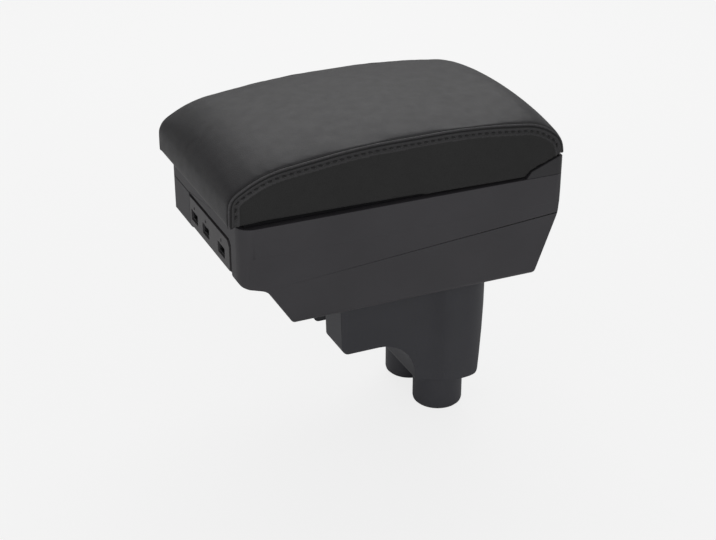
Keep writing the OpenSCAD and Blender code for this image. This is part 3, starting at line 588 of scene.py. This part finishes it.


# Seam of the lid: the top panel's turned edge makes a narrow bead along each side, and a row of dark
# thread stitches holds the turning down just below it. The bead's leather is coloured lighter as a
# painted highlight on its ridge, and thin near-black cords in the crease above it and the fold below
# it are painted shade.
def thread_and_painted_shade_finish(name, texture, scale, dark, light, roughness):
    finish = bpy.data.materials.new(name)
    finish.use_nodes = True
    nodes, links = finish.node_tree.nodes, finish.node_tree.links
    shader = nodes["Principled BSDF"]
    place = nodes.new("ShaderNodeTexCoord")
    pattern = nodes.new(texture)
    pattern.inputs["Scale"].default_value = scale
    links.new(place.outputs["Object"], pattern.inputs["Vector"])
    tone = toned(nodes, links, pattern.outputs["Fac"], dark, light)
    links.new(tone, shader.inputs["Base Color"])
    shader.inputs["Roughness"].default_value = roughness
    return finish


bead_painted_highlight = leather("leather_bead_painted_highlight", (0.062, 0.060, 0.064), 0.40, 0.05)
crease_painted_shade = thread_and_painted_shade_finish(
    "painted_shade_crease", "ShaderNodeTexNoise", 400.0, (0.004, 0.004, 0.004), (0.009, 0.009, 0.010), 0.8)
thread = thread_and_painted_shade_finish(
    "dark_thread", "ShaderNodeTexWave", 900.0, (0.002, 0.002, 0.002), (0.006, 0.006, 0.007), 0.7)
thread.node_tree.nodes["Principled BSDF"].inputs["Sheen Weight"].default_value = 0.15

skin_mesh = bmesh.new()
skin_mesh.from_mesh(pad.data)
skin_tree = BVHTree.FromBMesh(skin_mesh)
skin_mesh.free()
ray_from, ray_reach = 0.02, 0.05


def on_skin(p, direction):
    """Where a ray that comes down on p along -direction meets the leather, or its nearest point."""
    found = skin_tree.ray_cast(p + direction * ray_from, -direction, ray_reach)[0]
    return skin_tree.find_nearest(p)[0] if found is None else found


def smooth_path(points, rounds=6):
    for _ in range(rounds):
        inner = [(a + 2 * b + c) / 4 for a, b, c in zip(points, points[1:], points[2:])]
        points = [points[0]] + inner + [points[-1]]
    return points


def laid_cord(name, points, radius, finish):
    line = bpy.data.curves.new(name, "CURVE")
    line.dimensions = "3D"
    line.bevel_depth = radius
    line.bevel_resolution = 2
    line.use_fill_caps = True
    spline = line.splines.new("POLY")
    spline.points.add(len(points) - 1)
    for knot, p in zip(spline.points, points):
        knot.co = (*p, 1.0)
    cord = bpy.data.objects.new(name, line)
    scene.collection.objects.link(cord)
    only(cord)
    bpy.ops.object.convert(target="MESH")
    cord = bpy.context.object
    bpy.ops.object.shade_smooth()
    cord.data.materials.append(finish)
    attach(cord, "lid")


# The bead lies on the rounded edge, the painted shade cords in the crease inward of it on the top and
# in the fold below it on the side
bead_radius, crease_radius, fold_radius = 0.0009, 0.0007, 0.0006
bead_sunk, line_off = 0.0001, 0.0021
crease_tilt, fold_out = 0.38, 0.001
for side, word in ((-1, "right"), (1, "left")):
    outward = Vector((0, side, 0))
    bead, crease, fold = [], [], []
    for i, p in enumerate(seam_rest[side]):
        up = seam_up(seam_rest[side], i, outward)
        corner = (up + outward).normalized()
        bead.append(on_skin(p, corner) - corner * bead_sunk)
        crease.append(on_skin(p - outward * line_off, (up + outward * crease_tilt).normalized()))
        fold.append(skin_tree.find_nearest(p - up * line_off + outward * fold_out)[0])
    laid_cord("seam_bead_" + word, smooth_path(bead), bead_radius, bead_painted_highlight)
    laid_cord("painted_shade_crease_" + word, smooth_path(crease), crease_radius, crease_painted_shade)
    laid_cord("painted_shade_fold_" + word, smooth_path(fold), fold_radius, crease_painted_shade)

# One stitch is a short hexagonal pill. Its caps' middles are pulled out and its rims drawn in.
stitch_pitch, stitch_long, stitch_thick, stitch_below = 0.0065, 0.0038, 0.00095, 0.0069
stitch_lean, stitch_proud = 0.22, 0.00012
cap_out, rim_in = 1.18, 0.86
row_from_z, row_to_x = (rim_height + 12.0) / 1000, 0.151
bpy.ops.object.select_all(action="DESELECT")
bpy.ops.mesh.primitive_cylinder_add(
    vertices=6, radius=stitch_thick, depth=stitch_long, end_fill_type="TRIFAN")
stitch_shape = bpy.context.object
for v in stitch_shape.data.vertices:
    on_axis = abs(v.co.x) < 1e-9 and abs(v.co.y) < 1e-9
    v.co.z *= cap_out if on_axis else rim_in
stitch_mesh = stitch_shape.data
bpy.data.objects.remove(stitch_shape)
for side, word in ((-1, "right"), (1, "left")):
    outward = Vector((0, side, 0))
    line = seam_rest[side]
    offset = [p - seam_up(line, i, outward) * stitch_below for i, p in enumerate(line)]
    offset = [p for p in offset if p.z > row_from_z and p.x < row_to_x]
    row = bmesh.new()
    travelled, due = 0.0, stitch_pitch / 2
    for a, b in zip(offset, offset[1:]):
        length = (b - a).length
        while due <= travelled + length:
            p = a.lerp(b, (due - travelled) / length)
            due += stitch_pitch
            found, normal, _, _ = skin_tree.ray_cast(p + outward * ray_from, -outward, ray_reach)
            if found is None:
                continue
            along = (b - a).normalized()
            along = (along - normal * along.dot(normal)).normalized()
            along = (along + normal.cross(along) * stitch_lean * side).normalized()
            third = along.cross(normal).normalized()
            turn = Matrix((third, normal, along)).transposed().to_4x4()
            seat = Matrix.Translation(found + normal * stitch_proud) @ turn
            stitch = bmesh.new()
            stitch.from_mesh(stitch_mesh)
            bmesh.ops.transform(stitch, matrix=seat, verts=stitch.verts)
            one = bpy.data.meshes.new("one_stitch")
            stitch.to_mesh(one)
            stitch.free()
            row.from_mesh(one)
            bpy.data.meshes.remove(one)
        travelled += length
    sewn = bpy.data.meshes.new("stitches_" + word)
    bmesh.ops.recalc_face_normals(row, faces=row.faces)
    row.to_mesh(sewn)
    row.free()
    stitches = bpy.data.objects.new("stitches_" + word, sewn)
    scene.collection.objects.link(stitches)
    only(stitches)
    bpy.ops.object.shade_smooth_by_angle(angle=math.radians(70))
    stitches.data.materials.append(thread)
    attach(stitches, "lid")


# Ports: pressed tinned shells behind the bezel, each with a moulded tongue, and a dark light guide
# above it.
def bare_metal(name, colour, roughness):
    metal = bpy.data.materials.new(name)
    metal.use_nodes = True
    nodes, links = metal.node_tree.nodes, metal.node_tree.links
    shader = nodes["Principled BSDF"]
    shader.inputs["Metallic"].default_value = 1.0
    place = nodes.new("ShaderNodeTexCoord")
    mottle = nodes.new("ShaderNodeTexNoise")
    mottle.inputs["Scale"].default_value = 700.0
    mottle.inputs["Detail"].default_value = 5.0
    links.new(place.outputs["Object"], mottle.inputs["Vector"])
    tone = toned(nodes, links, mottle.outputs["Fac"], [c * 0.82 for c in colour], colour)
    links.new(tone, shader.inputs["Base Color"])
    rough = nodes.new("ShaderNodeMapRange")
    rough.inputs["To Min"].default_value = roughness - 0.08
    rough.inputs["To Max"].default_value = roughness + 0.1
    links.new(mottle.outputs["Fac"], rough.inputs["Value"])
    links.new(rough.outputs["Result"], shader.inputs["Roughness"])
    return metal


tinned = bare_metal("tinned_shell", (0.10, 0.10, 0.105), 0.5)
finish_nodes(tinned, "usb_shell_1", "usb_shell_2", "usb_shell_3")
insert_grain = moulded_plastic("port_insert", (0.20, 0.20, 0.205), 0.5, 0.01)
finish_nodes(insert_grain, "usb_tongue_1", "usb_tongue_2", "usb_tongue_3")
lamp_gloss = moulded_plastic("lamp_guide", (0.004, 0.004, 0.005), 0.5, 0.0)
lamp_gloss.node_tree.nodes["Principled BSDF"].inputs["Specular IOR Level"].default_value = 0.2
finish_nodes(lamp_gloss, "usb_lamp_1", "usb_lamp_2", "usb_lamp_3")
laminate = moulded_plastic("board_laminate", (0.02, 0.09, 0.035), 0.35, 0.01)
finish_nodes(laminate, "usb_board")


# Fastenings: zinc-plated steel screws, and the two hinge pins, plain rods of the same finish that
# run through the bracket and the lid's knuckles.
zinc = bare_metal("zinc_plate", (0.55, 0.55, 0.56), 0.35)
finish_nodes(zinc, "base_screws", "rail_screws", "hinge_screws", "hinge_pin_left", "hinge_pin_right",
             "usb_cover_screws", "lid_screws")


# Latch spring: a coil of zinc-plated wire on the floor of the latch cage, below the block.
coil = solid_from("latch_coil", "latch_spring")
coil.data.materials.append(zinc)
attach(coil, "base")
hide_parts("latch_spring")
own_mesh(coil)


# Board: pressed fibre board between the under-tray and the foam. Screws from below hold it to the
# tray, and it gives the foam a stiff, flat back.
fibre = moulded_plastic("fibre_board", (0.20, 0.14, 0.085), 0.8, 0.15)
finish_nodes(fibre, "lid_board")
